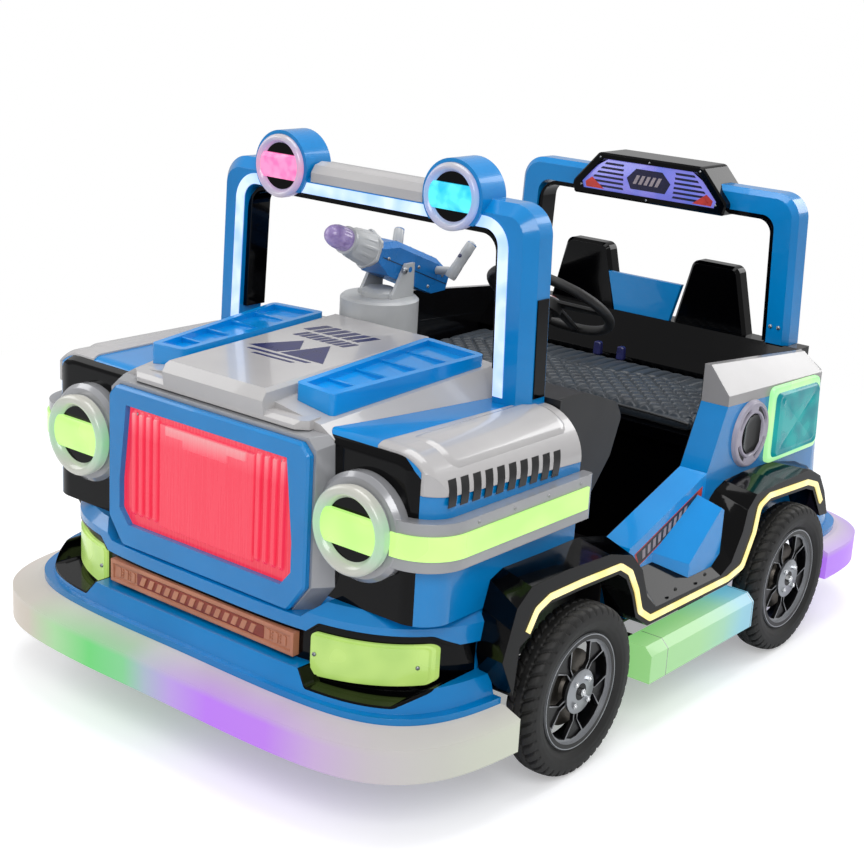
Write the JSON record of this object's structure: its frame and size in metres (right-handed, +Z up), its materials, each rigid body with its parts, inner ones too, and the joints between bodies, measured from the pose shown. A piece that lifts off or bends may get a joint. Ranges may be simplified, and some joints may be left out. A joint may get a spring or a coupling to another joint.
{
  "type": "bumper car",
  "caption": "Two-seat ride-on bumper car with an off-road body, lit bumper ring, round lamps, light bars, windscreen frame, roll bar and a swivelling toy gun",
  "frame": {"origin": "centre of the footprint at ground level, under the middle of the bounding box", "axes": "+Z up, the front faces -Y, +X is the vehicle's left"},
  "size_m": [1.444, 2.1936, 1.3319],
  "materials": {
    "battery_case": "matte",
    "black_gloss": "gloss",
    "black_plastic": "matte",
    "blue_gloss": "gloss",
    "bright_steel": "brushed",
    "bumper_milky": "satin",
    "copper_plate": "satin",
    "frame_steel": "satin",
    "lamp_milky": "gloss",
    "lens_green": "gloss",
    "lens_red": "gloss",
    "lens_teal": "gloss",
    "pearl_white": "gloss",
    "rim_alloy": "machined",
    "seat_vinyl": "satin",
    "silver_gloss": "gloss",
    "speaker_grey": "matte",
    "strip_cool": "gloss",
    "strip_warm": "gloss",
    "tyre_rubber": "matte",
    "wheel_grip": "satin"
  },
  "bodies": {
    "car_body": {"battery_pack": "battery_case", "chassis_frame": "frame_steel", "corner_lamps": "lens_green", "dashboard": "black_plastic", "entry_braces": "blue_gloss", "fender_flares": "black_gloss", "fender_led_strips": "strip_warm", "floor_pan": "black_plastic", "front_axle": "frame_steel", "front_bumper": "bumper_milky", "front_plate": "copper_plate", "front_wings": "blue_gloss", "grille_bezel": "blue_gloss", "grille_frame": "silver_gloss", "grille_lens": "lens_red", "gun_pedestal": "pearl_white", "headlamp_housings": "silver_gloss", "headlamp_rings": "lamp_milky", "hood_panel": "pearl_white", "hood_vents": "blue_gloss", "lamp_bays": "black_gloss", "nose_inlay": "black_gloss", "nose_shell": "blue_gloss", "pod_lamps": "lamp_milky", "rear_axle": "frame_steel", "rear_bumper": "bumper_milky", "rear_cap": "pearl_white", "rear_quarters": "blue_gloss", "roll_bar": "blue_gloss", "roll_bar_liner": "black_gloss", "seat_back": "black_gloss", "seat_back_panel": "blue_gloss", "seat_base": "black_gloss", "seat_cushion": "seat_vinyl", "side_bar_lenses": "lens_green", "side_light_boxes": "bumper_milky", "sign_box": "black_gloss", "speakers": "speaker_grey", "steering_column": "frame_steel", "tail_lamps": "lens_teal", "tail_shell": "blue_gloss", "top_bar_cover": "pearl_white", "windscreen_frame": "blue_gloss", "windscreen_led": "strip_cool", "windscreen_liner": "black_gloss", "wing_shoulders": "pearl_white"},
    "steering_wheel": {"steering_wheel": "wheel_grip"},
    "knuckle_left": {"knuckle_left": "bright_steel"},
    "knuckle_right": {"knuckle_right": "bright_steel"},
    "tie_rod": {"tie_rod": "bright_steel"},
    "gun_yoke": {"gun_yoke": "pearl_white"},
    "gun_body": {"gun_body": "blue_gloss"},
    "wheel_front_left": {"tyre_front_left": "tyre_rubber", "rim_front_left": "rim_alloy"},
    "wheel_front_right": {"tyre_front_right": "tyre_rubber", "rim_front_right": "rim_alloy"},
    "wheel_rear_left": {"tyre_rear_left": "tyre_rubber", "rim_rear_left": "rim_alloy"},
    "wheel_rear_right": {"tyre_rear_right": "tyre_rubber", "rim_rear_right": "rim_alloy"}
  },
  "joints": [
    {"name": "steering_wheel_turn", "type": "hinge", "parent": "car_body", "child": "steering_wheel", "pos_m": [0.14, 0.111, 0.912], "axis": [0, 0.5678, 0.8231], "range_deg": [-90, 90]},
    {"name": "kingpin_left", "type": "hinge", "parent": "car_body", "child": "knuckle_left", "pos_m": [0.596, -0.48, 0.202], "axis": [0, 0, 1], "range_deg": [-18.5, 18.5]},
    {"name": "kingpin_right", "type": "hinge", "parent": "car_body", "child": "knuckle_right", "pos_m": [-0.596, -0.48, 0.202], "axis": [0, 0, 1], "range_deg": [-18.5, 18.5]},
    {"name": "tie_rod_pin", "type": "hinge", "parent": "knuckle_left", "child": "tie_rod", "pos_m": [0.596, -0.37, 0.207], "axis": [0, 0, 1], "range_deg": [-18.5, 18.5]},
    {"name": "gun_swivel", "type": "hinge", "parent": "car_body", "child": "gun_yoke", "pos_m": [-0.098, -0.29, 0.936], "axis": [0, 0, 1], "range_deg": [-60, 60]},
    {"name": "gun_pitch", "type": "hinge", "parent": "gun_yoke", "child": "gun_body", "pos_m": [-0.098, -0.242, 1.003], "axis": [1, 0, 0], "range_deg": [-2, 25]},
    {"name": "spin_front_left", "type": "hinge", "parent": "knuckle_left", "child": "wheel_front_left", "pos_m": [0.678, -0.48, 0.202], "axis": [1, 0, 0], "continuous": true},
    {"name": "spin_front_right", "type": "hinge", "parent": "knuckle_right", "child": "wheel_front_right", "pos_m": [-0.678, -0.48, 0.202], "axis": [1, 0, 0], "continuous": true},
    {"name": "spin_rear_left", "type": "hinge", "parent": "car_body", "child": "wheel_rear_left", "pos_m": [0.678, 0.505, 0.202], "axis": [1, 0, 0], "continuous": true},
    {"name": "spin_rear_right", "type": "hinge", "parent": "car_body", "child": "wheel_rear_right", "pos_m": [-0.678, 0.505, 0.202], "axis": [1, 0, 0], "continuous": true}
  ],
  "couplings": [
    {"joint": "kingpin_left", "follows": "steering_wheel_turn", "ratio": 0.2},
    {"joint": "kingpin_right", "follows": "steering_wheel_turn", "ratio": 0.2},
    {"joint": "tie_rod_pin", "follows": "steering_wheel_turn", "ratio": -0.2}
  ]
}
